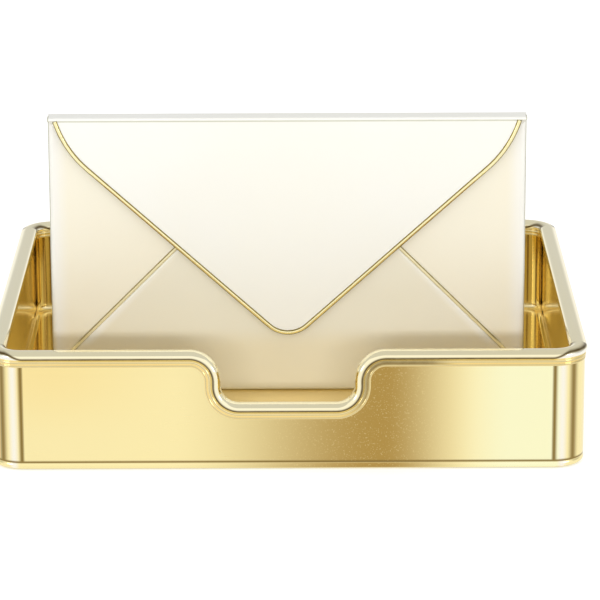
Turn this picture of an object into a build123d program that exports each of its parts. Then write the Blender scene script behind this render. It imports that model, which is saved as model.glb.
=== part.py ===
"""Open gilt letter tray with a notched front and an upright padded envelope.

Millimetres, +Z up, the front of the tray faces -Y. The origin is the middle of the
footprint on the table. Every separate piece is a solid of its own, written to parts/.
"""
import os
from math import atan2, hypot, tan

from build123d import *

# Overall size of the tray
TRAY_WIDTH = 267.4
TRAY_DEPTH = 233.4
TRAY_HEIGHT = 55.0
PLAN_CORNER_RADIUS = 15.9

# Rolled rim: an oval bead on a channel that caps both wall edges
RIM_DEPTH = 8.4
BEAD_DEPTH = 8.1
BEAD_HEIGHT = 4.8
BEAD_SEAT_DROP = 1.6
CHANNEL_DEPTH = 7.0
CHANNEL_UPPER_HEIGHT = 1.8
CHANNEL_LOWER_HEIGHT = 1.4
CHANNEL_STEP = 0.2
CHANNEL_EDGE_BEVEL = 0.5
GROOVE_DEPTH = 1.2
GROOVE_CLEARANCE = 0.02

# Double wall: shell outside, liner pan inside
SHEET = 1.4
SHELL_INSET = 1.2
LINER_FACE_INSET = 6.9
FOOT_FILLET = 2.6
FOOT_BEND_INSIDE = 0.8
LINER_FILLET = 2.5
LINER_BEND_OUTSIDE = 2.2
FLANGE_WIDTH = 18.0

# Stack of heights above the table
SHELL_LIFT = 0.3
BASE_PLATE_THICKNESS = 1.2
FLOOR_TOP = 10.0

# Finger notch in the front wall, measured on the middle line of the bead
NOTCH_HALF_WIDTH = 32.2
NOTCH_SHOULDER_RADIUS = 11.4
NOTCH_FOOT_RADIUS = 10.7
NOTCH_STRAIGHT = 2.2
NOTCH_OVERCUT = 6.0

# Fixings under the floor
SCREW_SHANK = 3.0
SCREW_HEAD = 5.6
SCREW_HEAD_HEIGHT = 1.3
SCREW_LENGTH = 7.4
SCREW_CLEARANCE = 0.05
POST_DIAMETER = 8.0
POST_INSET = 11.7
POST_CORNER_SHIFT = 6.0
FOOT_PAD_DIAMETER = 16.0
FOOT_PAD_INSET = 40.7
FOOT_PAD_EDGE = 0.3

# Envelope: outline, and how far its back stands behind the front of the tray
ENVELOPE_WIDTH = 220.0
ENVELOPE_HEIGHT = 130.75
ENVELOPE_SETBACK = 98.3
REST_GAP = 0.05
BACK_HALF = 4.4
FRONT_HALF = 4.4
BOTTOM_FLAP_RAISE = 0.8
EDGE_ROUND = 2.6
BOTTOM_CORNER_ROUND = 3.0
POCKET_WALL = 2.0
POCKET_SIDE_WALL = 8.0
POCKET_FLOOR = 4.5

# Top flap and its gilt edge bead
FLAP_GAP = 0.3
FLAP_THICKNESS = 1.4
FLAP_END_MARGIN = 3.5
FLAP_SHOULDER_INSET = 4.5
FLAP_SHOULDER_DROP = 13.5
FLAP_TIP_DROP = 105.4
FLAP_SHOULDER_SHARE = 0.93
FLAP_TIP_ROUND = 13.0
FLAP_BEAD_RADIUS = 1.1
FLAP_BEAD_PROUD = 0.8
FLAP_PANEL_INSET = 0.6
CREASE_ROUND = 1.2

# Seams between the side flaps and the bottom flap
SEAM_END_MARGIN = 2.8
SEAM_SHOULDER_INSET = 3.7
SEAM_SHOULDER_RISE = 17.0
SEAM_SHOULDER_ROUND = 30.0
SEAM_RUN = 65.0
THROAT_WIDENING = 21.5
SEAM_HALF_GAP = 0.6
SEAM_BEAD_RADIUS = 0.85
SEAM_BEAD_PROUD = 1.05
SEAM_EDGE_ROUND = 1.2

# Sizes that follow from the ones above
CHANNEL_HEIGHT = CHANNEL_UPPER_HEIGHT + CHANNEL_LOWER_HEIGHT
HALF_WIDTH = TRAY_WIDTH / 2
HALF_DEPTH = TRAY_DEPTH / 2
PATH_INSET = RIM_DEPTH / 2
PATH_X = HALF_WIDTH - PATH_INSET
PATH_Y = HALF_DEPTH - PATH_INSET
PATH_RADIUS = PLAN_CORNER_RADIUS - PATH_INSET
PATH_Z = TRAY_HEIGHT - BEAD_HEIGHT / 2
CORNER_X = PATH_X - PATH_RADIUS
CORNER_Y = PATH_Y - PATH_RADIUS
NOTCH_TOP_X = NOTCH_HALF_WIDTH + NOTCH_SHOULDER_RADIUS
NOTCH_FLAT_X = NOTCH_HALF_WIDTH - NOTCH_FOOT_RADIUS
NOTCH_UPPER_Z = PATH_Z - NOTCH_SHOULDER_RADIUS
NOTCH_LOWER_Z = NOTCH_UPPER_Z - NOTCH_STRAIGHT
NOTCH_FLOOR_Z = NOTCH_LOWER_Z - NOTCH_FOOT_RADIUS
WALL_EDGE_DROP = BEAD_SEAT_DROP + CHANNEL_HEIGHT - GROOVE_DEPTH
WALL_TOP_Z = PATH_Z - WALL_EDGE_DROP
SHELL_FLOOR_Z = SHELL_LIFT + SHEET
BASE_PLATE_TOP = SHELL_FLOOR_Z + BASE_PLATE_THICKNESS
LINER_UNDERSIDE = FLOOR_TOP - SHEET
ENVELOPE_BOTTOM = FLOOR_TOP + REST_GAP
ENVELOPE_TOP = ENVELOPE_BOTTOM + ENVELOPE_HEIGHT
ENVELOPE_BACK_Y = ENVELOPE_SETBACK - HALF_DEPTH
POCKET_TOP = ENVELOPE_TOP - FLAP_THICKNESS - FLAP_GAP
FRONT_FACE_Y = ENVELOPE_BACK_Y - BACK_HALF - FRONT_HALF
BOTTOM_FLAP_Y = FRONT_FACE_Y - BOTTOM_FLAP_RAISE
FLAP_BACK_Y = BOTTOM_FLAP_Y - FLAP_GAP
FLAP_FRONT_Y = FLAP_BACK_Y - FLAP_THICKNESS
FLAP_BEAD_Y = FLAP_FRONT_Y - FLAP_BEAD_PROUD + FLAP_BEAD_RADIUS
SEAM_BEAD_Y = FRONT_FACE_Y - SEAM_BEAD_PROUD + SEAM_BEAD_RADIUS
FLAP_CREASE_Z = ENVELOPE_TOP - FLAP_THICKNESS
FLAP_TOP_HALF_WIDTH = ENVELOPE_WIDTH / 2 - FLAP_END_MARGIN
FLAP_SHOULDER_HALF_WIDTH = FLAP_TOP_HALF_WIDTH - FLAP_SHOULDER_INSET
FLAP_SHOULDER_Z = FLAP_CREASE_Z - FLAP_SHOULDER_DROP
FLAP_TIP_Z = FLAP_CREASE_Z - FLAP_TIP_DROP
FLAP_SHOULDER_RUN = hypot(FLAP_SHOULDER_INSET, FLAP_SHOULDER_DROP)
FLAP_SHOULDER_TURN = atan2(FLAP_SHOULDER_DROP, FLAP_SHOULDER_INSET) - atan2(
    FLAP_SHOULDER_Z - FLAP_TIP_Z, FLAP_SHOULDER_HALF_WIDTH
)
FLAP_SHOULDER_ROUND = (
    FLAP_SHOULDER_SHARE * FLAP_SHOULDER_RUN / tan(FLAP_SHOULDER_TURN / 2)
)
SEAM_FOOT_HALF_WIDTH = ENVELOPE_WIDTH / 2 - SEAM_END_MARGIN
SEAM_SHOULDER_HALF_WIDTH = SEAM_FOOT_HALF_WIDTH - SEAM_SHOULDER_INSET
SEAM_SHOULDER_Z = ENVELOPE_BOTTOM + SEAM_SHOULDER_RISE
SEAM_TOP_HALF_WIDTH = SEAM_SHOULDER_HALF_WIDTH - SEAM_RUN
SEAM_TOP_Z = SEAM_SHOULDER_Z + SEAM_RUN
THROAT_HALF_WIDTH = SEAM_TOP_HALF_WIDTH + THROAT_WIDENING

NOTCH_REACH = 14.0
OUTSIDE = 20.0

SCREW_POINTS = (
    (HALF_WIDTH - POST_INSET - POST_CORNER_SHIFT, HALF_DEPTH - POST_INSET - POST_CORNER_SHIFT),
    (POST_INSET + POST_CORNER_SHIFT - HALF_WIDTH, HALF_DEPTH - POST_INSET - POST_CORNER_SHIFT),
    (HALF_WIDTH - POST_INSET - POST_CORNER_SHIFT, POST_INSET + POST_CORNER_SHIFT - HALF_DEPTH),
    (POST_INSET + POST_CORNER_SHIFT - HALF_WIDTH, POST_INSET + POST_CORNER_SHIFT - HALF_DEPTH),
)
FOOT_X = HALF_WIDTH - FOOT_PAD_INSET
FOOT_Y = HALF_DEPTH - FOOT_PAD_INSET
FOOT_POINTS = (
    (FOOT_X, FOOT_Y),
    (-FOOT_X, FOOT_Y),
    (FOOT_X, -FOOT_Y),
    (-FOOT_X, -FOOT_Y),
)


def bead_section():
    """Oval bead, cut flat where it sits on the channel. Local x points out, y points up."""
    Ellipse(BEAD_DEPTH / 2, BEAD_HEIGHT / 2)
    with Locations((0, -BEAD_SEAT_DROP)):
        Rectangle(RIM_DEPTH, BEAD_HEIGHT, align=(Align.CENTER, Align.MAX), mode=Mode.SUBTRACT)


def channel_section():
    """Two-step channel under the bead, with a groove for each wall edge."""
    channel_top = -BEAD_SEAT_DROP
    channel_foot = channel_top - CHANNEL_HEIGHT
    with Locations((0, channel_top)):
        band = Rectangle(CHANNEL_DEPTH, CHANNEL_UPPER_HEIGHT, align=(Align.CENTER, Align.MAX))
    chamfer(band.vertices(), CHANNEL_EDGE_BEVEL)
    with Locations((0, channel_foot)):
        Rectangle(
            CHANNEL_DEPTH - 2 * CHANNEL_STEP,
            CHANNEL_LOWER_HEIGHT,
            align=(Align.CENTER, Align.MIN),
        )
    groove_width = SHEET + 2 * GROOVE_CLEARANCE
    shell_groove = PATH_INSET - SHELL_INSET - SHEET / 2
    liner_groove = PATH_INSET - LINER_FACE_INSET + SHEET / 2
    with Locations((shell_groove, channel_foot), (liner_groove, channel_foot)):
        Rectangle(
            groove_width, GROOVE_DEPTH, align=(Align.CENTER, Align.MIN), mode=Mode.SUBTRACT
        )


def straight_run(section, start, outward, travel, length):
    """Carry the section along a straight part of the rim."""
    with BuildSketch(Plane(origin=start, x_dir=outward, z_dir=travel)) as profile:
        section()
    extrude(profile.sketch, amount=length, dir=travel)


def turned_run(section, start, outward, travel, centre, axis):
    """Carry the section round a quarter turn of the rim."""
    with BuildSketch(Plane(origin=start, x_dir=outward, z_dir=travel)) as profile:
        section()
    revolve(profile.sketch, axis=Axis(centre, axis), revolution_arc=90)


def rim_half(section):
    """Right half of the rim from the middle of the back to the middle of the notch."""
    straight_run(section, (0, PATH_Y, PATH_Z), (0, 1, 0), (1, 0, 0), CORNER_X)
    turned_run(
        section, (CORNER_X, PATH_Y, PATH_Z), (0, 1, 0), (1, 0, 0),
        (CORNER_X, CORNER_Y, 0), (0, 0, -1),
    )
    straight_run(section, (PATH_X, CORNER_Y, PATH_Z), (1, 0, 0), (0, -1, 0), 2 * CORNER_Y)
    turned_run(
        section, (PATH_X, -CORNER_Y, PATH_Z), (1, 0, 0), (0, -1, 0),
        (CORNER_X, -CORNER_Y, 0), (0, 0, -1),
    )
    straight_run(
        section, (CORNER_X, -PATH_Y, PATH_Z), (0, -1, 0), (-1, 0, 0), CORNER_X - NOTCH_TOP_X
    )
    turned_run(
        section, (NOTCH_TOP_X, -PATH_Y, PATH_Z), (0, -1, 0), (-1, 0, 0),
        (NOTCH_TOP_X, 0, NOTCH_UPPER_Z), (0, -1, 0),
    )
    straight_run(
        section, (NOTCH_HALF_WIDTH, -PATH_Y, NOTCH_UPPER_Z), (0, -1, 0), (0, 0, -1),
        NOTCH_STRAIGHT,
    )
    turned_run(
        section, (NOTCH_HALF_WIDTH, -PATH_Y, NOTCH_LOWER_Z), (0, -1, 0), (0, 0, -1),
        (NOTCH_FLAT_X, 0, NOTCH_LOWER_Z), (0, 1, 0),
    )
    straight_run(
        section, (NOTCH_FLAT_X, -PATH_Y, NOTCH_FLOOR_Z), (0, -1, 0), (-1, 0, 0), NOTCH_FLAT_X
    )


def notch_cut():
    """Clear the notch out of the front wall, a fixed drop below the bead line."""
    shoulder = NOTCH_SHOULDER_RADIUS - WALL_EDGE_DROP
    foot = NOTCH_FOOT_RADIUS + WALL_EDGE_DROP
    over = TRAY_HEIGHT + NOTCH_OVERCUT
    floor_z = NOTCH_FLOOR_Z - WALL_EDGE_DROP
    upper_x = NOTCH_TOP_X
    with BuildSketch(Plane.XZ.offset(HALF_DEPTH + NOTCH_OVERCUT)) as opening:
        with BuildLine():
            Polyline((0, floor_z), (NOTCH_FLAT_X, floor_z))
            RadiusArc(
                (NOTCH_FLAT_X, floor_z), (NOTCH_FLAT_X + foot, NOTCH_LOWER_Z), -foot
            )
            Line((NOTCH_FLAT_X + foot, NOTCH_LOWER_Z), (NOTCH_FLAT_X + foot, NOTCH_UPPER_Z))
            RadiusArc(
                (upper_x - shoulder, NOTCH_UPPER_Z), (upper_x, WALL_TOP_Z), shoulder
            )
            Polyline((upper_x, WALL_TOP_Z), (upper_x, over), (0, over), (0, floor_z))
        make_face()
        mirror(about=Plane.YZ)
    extrude(
        opening.sketch, amount=NOTCH_REACH + NOTCH_OVERCUT, dir=(0, 1, 0), mode=Mode.SUBTRACT
    )


# ---------------------------------------------------------------- tray, rim first
with BuildPart() as rim_bead:
    rim_half(bead_section)
    mirror(about=Plane.YZ)

with BuildPart() as rim_channel:
    rim_half(channel_section)
    mirror(about=Plane.YZ)

# Outer shell: one drawn sheet with a rolled foot and an inward flange below
with BuildPart() as outer_shell:
    with BuildSketch(Plane.XY.offset(SHELL_LIFT)):
        RectangleRounded(
            TRAY_WIDTH - 2 * SHELL_INSET,
            TRAY_DEPTH - 2 * SHELL_INSET,
            PLAN_CORNER_RADIUS - SHELL_INSET,
        )
    extrude(amount=WALL_TOP_Z - SHELL_LIFT)
    fillet(outer_shell.faces().sort_by(Axis.Z)[0].edges(), FOOT_FILLET)
    with BuildSketch(Plane.XY.offset(SHELL_FLOOR_Z)):
        RectangleRounded(
            TRAY_WIDTH - 2 * SHELL_INSET - 2 * SHEET,
            TRAY_DEPTH - 2 * SHELL_INSET - 2 * SHEET,
            PLAN_CORNER_RADIUS - SHELL_INSET - SHEET,
        )
    extrude(amount=TRAY_HEIGHT, mode=Mode.SUBTRACT)
    chamfer(
        outer_shell.faces().filter_by(Axis.Z).sort_by(Axis.Z)[1].edges().filter_by(
            lambda edge: abs(edge.center().Z - SHELL_FLOOR_Z) < GROOVE_CLEARANCE
        ),
        FOOT_BEND_INSIDE,
    )
    with BuildSketch(Plane.XY):
        RectangleRounded(
            TRAY_WIDTH - 2 * SHELL_INSET - 2 * FLANGE_WIDTH,
            TRAY_DEPTH - 2 * SHELL_INSET - 2 * FLANGE_WIDTH,
            FLANGE_WIDTH / 2,
        )
    extrude(amount=SHELL_FLOOR_Z, mode=Mode.SUBTRACT)
    with Locations(Plane.XY.offset(SHELL_LIFT)):
        with Locations(*SCREW_POINTS):
            Cone(
                SCREW_HEAD / 2 + SCREW_CLEARANCE,
                SCREW_SHANK / 2 + SCREW_CLEARANCE,
                SCREW_HEAD_HEIGHT,
                align=(Align.CENTER, Align.CENTER, Align.MIN),
                mode=Mode.SUBTRACT,
            )
            Cylinder(
                SCREW_SHANK / 2 + SCREW_CLEARANCE,
                FLOOR_TOP - SHELL_LIFT - SHEET,
                align=(Align.CENTER, Align.CENTER, Align.MIN),
                mode=Mode.SUBTRACT,
            )
    notch_cut()

# Liner pan: the inner walls and the raised floor that papers lie on
with BuildPart() as liner_pan:
    with BuildSketch(Plane.XY.offset(LINER_UNDERSIDE)):
        RectangleRounded(
            TRAY_WIDTH - 2 * (LINER_FACE_INSET - SHEET),
            TRAY_DEPTH - 2 * (LINER_FACE_INSET - SHEET),
            PLAN_CORNER_RADIUS - LINER_FACE_INSET + SHEET,
        )
    extrude(amount=WALL_TOP_Z - LINER_UNDERSIDE)
    chamfer(liner_pan.faces().sort_by(Axis.Z)[0].edges(), LINER_BEND_OUTSIDE)
    with BuildSketch(Plane.XY.offset(FLOOR_TOP)):
        RectangleRounded(
            TRAY_WIDTH - 2 * LINER_FACE_INSET,
            TRAY_DEPTH - 2 * LINER_FACE_INSET,
            PLAN_CORNER_RADIUS - LINER_FACE_INSET,
        )
    extrude(amount=TRAY_HEIGHT, mode=Mode.SUBTRACT)
    fillet(
        liner_pan.faces().filter_by(Axis.Z).sort_by(Axis.Z)[1].edges(),
        LINER_FILLET,
    )
    notch_cut()

# Base plate: lies on the flange and closes the underside
with BuildPart() as base_plate:
    with BuildSketch(Plane.XY.offset(SHELL_FLOOR_Z)):
        RectangleRounded(
            TRAY_WIDTH - 2 * (SHELL_INSET + FOOT_FILLET),
            TRAY_DEPTH - 2 * (SHELL_INSET + FOOT_FILLET),
            PLAN_CORNER_RADIUS - SHELL_INSET - FOOT_FILLET,
        )
        with Locations(*SCREW_POINTS):
            Circle(SCREW_SHANK / 2 + SCREW_CLEARANCE, mode=Mode.SUBTRACT)
    extrude(amount=BASE_PLATE_THICKNESS)

# Posts brazed under the liner floor, one over every screw
with BuildPart() as floor_posts:
    with BuildSketch(Plane.XY.offset(BASE_PLATE_TOP)):
        with Locations(*SCREW_POINTS):
            Circle(POST_DIAMETER / 2)
            Circle(SCREW_SHANK / 2 + SCREW_CLEARANCE, mode=Mode.SUBTRACT)
    extrude(amount=LINER_UNDERSIDE - BASE_PLATE_TOP)

# Countersunk screws, driven up from below
with BuildPart() as base_screws:
    with Locations(Plane.XY.offset(SHELL_LIFT)):
        with Locations(*SCREW_POINTS):
            Cone(
                SCREW_HEAD / 2,
                SCREW_SHANK / 2,
                SCREW_HEAD_HEIGHT,
                align=(Align.CENTER, Align.CENTER, Align.MIN),
            )
            Cylinder(
                SCREW_SHANK / 2, SCREW_LENGTH, align=(Align.CENTER, Align.CENTER, Align.MIN)
            )

# Rubber pads stuck to the base plate inside the flange opening
with BuildPart() as foot_pads:
    with BuildSketch(Plane.XY):
        with Locations(*FOOT_POINTS):
            Circle(FOOT_PAD_DIAMETER / 2)
    extrude(amount=SHELL_FLOOR_Z)
    chamfer(foot_pads.faces().group_by(Axis.Z)[0].edges(), FOOT_PAD_EDGE)


# ---------------------------------------------------------------- envelope
def slab(back_y, front_y):
    """Full envelope outline as a block between two depths."""
    middle_z = (ENVELOPE_BOTTOM + POCKET_TOP) / 2
    with BuildSketch(Plane.XZ.offset(-back_y)) as outline:
        with Locations((0, middle_z)):
            Rectangle(ENVELOPE_WIDTH, POCKET_TOP - ENVELOPE_BOTTOM)
    extrude(outline.sketch, amount=back_y - front_y, dir=(0, -1, 0))


def round_bottom_corners(part):
    """Round the two lower corners of the outline."""
    fillet(part.edges().filter_by(Axis.Y).group_by(Axis.Z)[0], BOTTOM_CORNER_ROUND)


def pocket_cut():
    """Room for a letter, open at the top under the flap."""
    cavity_back = ENVELOPE_BACK_Y - POCKET_WALL
    cavity_front = FRONT_FACE_Y + POCKET_WALL
    with BuildSketch(Plane.XZ.offset(-cavity_back)) as cavity:
        with Locations((0, ENVELOPE_BOTTOM + POCKET_FLOOR)):
            Rectangle(
                ENVELOPE_WIDTH - 2 * POCKET_SIDE_WALL,
                ENVELOPE_TOP,
                align=(Align.CENTER, Align.MIN),
            )
    extrude(
        cavity.sketch, amount=cavity_back - cavity_front, dir=(0, -1, 0), mode=Mode.SUBTRACT
    )


def corners_at(builder, half_width):
    """Corner points of an outline at one distance from the middle line."""
    return builder.vertices().filter_by(
        lambda corner: abs(abs(corner.X) - half_width) < REST_GAP
    )


def seam_points(side):
    """Corner points of one seam line, from the foot of the envelope up under the flap."""
    return (
        (side * SEAM_FOOT_HALF_WIDTH, ENVELOPE_BOTTOM),
        (side * SEAM_SHOULDER_HALF_WIDTH, SEAM_SHOULDER_Z),
        (side * SEAM_TOP_HALF_WIDTH, SEAM_TOP_Z),
    )


def side_region(side):
    """Keep only the area outside one seam line."""
    foot, shoulder, top = seam_points(side)
    far = side * (ENVELOPE_WIDTH / 2 + OUTSIDE)
    throat = (side * THROAT_HALF_WIDTH, ENVELOPE_TOP + OUTSIDE)
    below = (foot[0], foot[1] - OUTSIDE)
    with BuildSketch(Plane.XZ.offset(-ENVELOPE_BACK_Y - OUTSIDE)) as region:
        Polygon(
            below, foot, shoulder, top, throat, (far, throat[1]), (far, below[1]), align=None
        )
        fillet(corners_at(region, SEAM_SHOULDER_HALF_WIDTH), SEAM_SHOULDER_ROUND)
        offset(amount=-SEAM_HALF_GAP, kind=Kind.INTERSECTION)
    extrude(
        region.sketch,
        amount=2 * OUTSIDE + BACK_HALF + FRONT_HALF,
        dir=(0, -1, 0),
        mode=Mode.INTERSECT,
    )


def seam_bead_path(side):
    """Middle line of one seam bead."""
    with BuildLine(Plane.XZ.offset(-SEAM_BEAD_Y)) as path:
        foot, shoulder, top = seam_points(side)
        start = (foot[0], foot[1] + BOTTOM_CORNER_ROUND)
        FilletPolyline(start, shoulder, top, radius=SEAM_SHOULDER_ROUND)
    return path


with BuildPart() as envelope_back_panel:
    slab(ENVELOPE_BACK_Y, ENVELOPE_BACK_Y - BACK_HALF)
    round_bottom_corners(envelope_back_panel)
    fillet(envelope_back_panel.faces().sort_by(Axis.Y)[-1].edges(), EDGE_ROUND)
    pocket_cut()

seam_beads = []
for side in (-1, 1):
    seam_path = seam_bead_path(side)
    with BuildPart() as seam_bead:
        with BuildSketch(Plane(origin=seam_path.line @ 0, z_dir=seam_path.line % 0)):
            Circle(SEAM_BEAD_RADIUS)
        sweep(path=seam_path.line)
    seam_beads.append(seam_bead)

side_flaps = []
for side, seam_bead in zip((-1, 1), seam_beads):
    with BuildPart() as side_flap:
        slab(ENVELOPE_BACK_Y - BACK_HALF, FRONT_FACE_Y)
        round_bottom_corners(side_flap)
        fillet(side_flap.faces().sort_by(Axis.Y)[0].edges(), EDGE_ROUND)
        pocket_cut()
        side_region(side)
        add(seam_bead.part, mode=Mode.SUBTRACT)
    side_flaps.append(side_flap)

# Bottom flap: stands a little proud of the side flaps, with soft seam edges
with BuildPart() as bottom_flap:
    slab(ENVELOPE_BACK_Y - BACK_HALF, BOTTOM_FLAP_Y)
    round_bottom_corners(bottom_flap)
    with BuildSketch(Plane.XZ.offset(-ENVELOPE_BACK_Y - OUTSIDE)) as bottom_region:
        left_seam = seam_points(-1)
        right_seam = seam_points(1)
        Polygon(
            (left_seam[0][0], left_seam[0][1] - OUTSIDE),
            *left_seam,
            *reversed(right_seam),
            (right_seam[0][0], right_seam[0][1] - OUTSIDE),
            align=None,
        )
        fillet(corners_at(bottom_region, SEAM_SHOULDER_HALF_WIDTH), SEAM_SHOULDER_ROUND)
        offset(amount=-SEAM_HALF_GAP, kind=Kind.INTERSECTION)
    extrude(amount=2 * OUTSIDE + BACK_HALF + FRONT_HALF, mode=Mode.INTERSECT)
    fillet(bottom_flap.faces().sort_by(Axis.Y)[0].edges(), SEAM_EDGE_ROUND)
    pocket_cut()
    for seam_bead in seam_beads:
        add(seam_bead.part, mode=Mode.SUBTRACT)


# ---------------------------------------------------------------- top flap
def flap_outline_points():
    """Corner points of the middle line of the flap bead, left to right."""
    return (
        (-FLAP_TOP_HALF_WIDTH, FLAP_CREASE_Z),
        (-FLAP_SHOULDER_HALF_WIDTH, FLAP_SHOULDER_Z),
        (0, FLAP_TIP_Z),
        (FLAP_SHOULDER_HALF_WIDTH, FLAP_SHOULDER_Z),
        (FLAP_TOP_HALF_WIDTH, FLAP_CREASE_Z),
    )


with BuildLine(Plane.XZ.offset(-FLAP_BEAD_Y)) as flap_path:
    Polyline(*flap_outline_points())
    fillet(corners_at(flap_path, FLAP_SHOULDER_HALF_WIDTH), FLAP_SHOULDER_ROUND)
    fillet(corners_at(flap_path, 0), FLAP_TIP_ROUND)

with BuildPart() as flap_edge_bead:
    with BuildSketch(Plane(origin=flap_path.line @ 0, z_dir=flap_path.line % 0)):
        Circle(FLAP_BEAD_RADIUS)
    sweep(path=flap_path.line)

# Flap sheet: a strip over the top of the envelope and the pointed front panel
with BuildPart() as top_flap:
    with BuildSketch(Plane.XZ.offset(-FLAP_BACK_Y)) as flap_panel_area:
        Polygon(*flap_outline_points(), align=None)
        fillet(corners_at(flap_panel_area, FLAP_SHOULDER_HALF_WIDTH), FLAP_SHOULDER_ROUND)
        fillet(corners_at(flap_panel_area, 0), FLAP_TIP_ROUND)
        offset(amount=-FLAP_PANEL_INSET, kind=Kind.INTERSECTION)
        with Locations((0, ENVELOPE_TOP)):
            Rectangle(
                2 * (FLAP_TOP_HALF_WIDTH - FLAP_PANEL_INSET),
                2 * FLAP_THICKNESS,
                align=(Align.CENTER, Align.MAX),
            )
    extrude(amount=FLAP_THICKNESS)
    with BuildSketch(Plane.XY.offset(ENVELOPE_TOP - FLAP_THICKNESS)):
        with Locations((0, ENVELOPE_BACK_Y)):
            Rectangle(
                ENVELOPE_WIDTH, ENVELOPE_BACK_Y - FLAP_FRONT_Y, align=(Align.CENTER, Align.MAX)
            )
    extrude(amount=FLAP_THICKNESS)
    fillet(
        top_flap.edges().filter_by(Axis.X).filter_by(
            lambda edge: abs(edge.center().Z - ENVELOPE_TOP) < REST_GAP
        ),
        CREASE_ROUND,
    )
    add(flap_edge_bead.part, mode=Mode.SUBTRACT)

rim_bead.part.label = "rim_bead"
rim_channel.part.label = "rim_channel"
outer_shell.part.label = "outer_shell"
liner_pan.part.label = "liner_pan"
base_plate.part.label = "base_plate"
floor_posts.part.label = "floor_posts"
base_screws.part.label = "base_screws"
foot_pads.part.label = "foot_pads"
envelope_back_panel.part.label = "envelope_back_panel"
side_flaps[0].part.label = "envelope_left_side_flap"
side_flaps[1].part.label = "envelope_right_side_flap"
bottom_flap.part.label = "envelope_bottom_flap"
seam_beads[0].part.label = "envelope_left_seam_bead"
seam_beads[1].part.label = "envelope_right_seam_bead"
top_flap.part.label = "envelope_top_flap"
flap_edge_bead.part.label = "flap_edge_bead"

os.makedirs("parts", exist_ok=True)
for built in (
    rim_bead,
    rim_channel,
    outer_shell,
    liner_pan,
    base_plate,
    floor_posts,
    base_screws,
    foot_pads,
    envelope_back_panel,
    side_flaps[0],
    side_flaps[1],
    bottom_flap,
    seam_beads[0],
    seam_beads[1],
    top_flap,
    flap_edge_bead,
):
    export_step(built.part, "parts/" + built.part.label + ".step")
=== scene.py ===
"""Gilt letter tray with an upright envelope: looks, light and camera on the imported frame."""
import math

import bpy
import numpy as np
from mathutils import Matrix, Vector


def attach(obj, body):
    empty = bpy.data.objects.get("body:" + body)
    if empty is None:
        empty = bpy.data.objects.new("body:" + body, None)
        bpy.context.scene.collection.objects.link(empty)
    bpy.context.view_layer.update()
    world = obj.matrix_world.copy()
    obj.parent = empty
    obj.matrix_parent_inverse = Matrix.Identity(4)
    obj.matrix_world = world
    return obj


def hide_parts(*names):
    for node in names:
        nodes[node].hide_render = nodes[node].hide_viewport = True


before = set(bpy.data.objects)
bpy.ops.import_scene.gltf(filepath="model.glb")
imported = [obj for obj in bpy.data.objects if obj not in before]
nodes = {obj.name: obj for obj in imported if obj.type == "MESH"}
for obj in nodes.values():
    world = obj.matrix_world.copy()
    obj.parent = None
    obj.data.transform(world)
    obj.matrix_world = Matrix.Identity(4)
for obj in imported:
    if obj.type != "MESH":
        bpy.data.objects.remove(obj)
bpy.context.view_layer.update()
scene = bpy.context.scene
scene.view_settings.view_transform = "Standard"


# ---------------------------------------------------------------- shader maths
class Sock:
    """A shader socket with arithmetic: each operator adds one Math node."""

    def __init__(self, net, socket):
        self.net, self.socket = net, socket

    def _math(self, operation, *inputs):
        return self.net.node("ShaderNodeMath", {"operation": operation}, dict(enumerate(inputs)))

    def __add__(self, other): return self._math("ADD", self, other)
    def __radd__(self, other): return self._math("ADD", other, self)
    def __sub__(self, other): return self._math("SUBTRACT", self, other)
    def __rsub__(self, other): return self._math("SUBTRACT", other, self)
    def __mul__(self, other): return self._math("MULTIPLY", self, other)
    def __rmul__(self, other): return self._math("MULTIPLY", other, self)
    def __pow__(self, other): return self._math("POWER", self, other)
    def abs(self): return self._math("ABSOLUTE", self)
    def max(self, other): return self._math("MAXIMUM", self, other)
    def min(self, other): return self._math("MINIMUM", self, other)

    def step(self, start, full):
        """0 up to start, 1 from full on, smooth between; start may be the larger of the two."""
        low, high = sorted((start, full))
        rising = self.net.node("ShaderNodeMapRange", {"interpolation_type": "SMOOTHSTEP"},
                               {"Value": self, "From Min": low, "From Max": high})
        return rising if start < full else 1.0 - rising

    def bell(self, centre, half_width):
        """1 at the centre, falling smoothly to 0 at half_width on each side."""
        return (self - centre).abs().step(half_width, 0.0)


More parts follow.
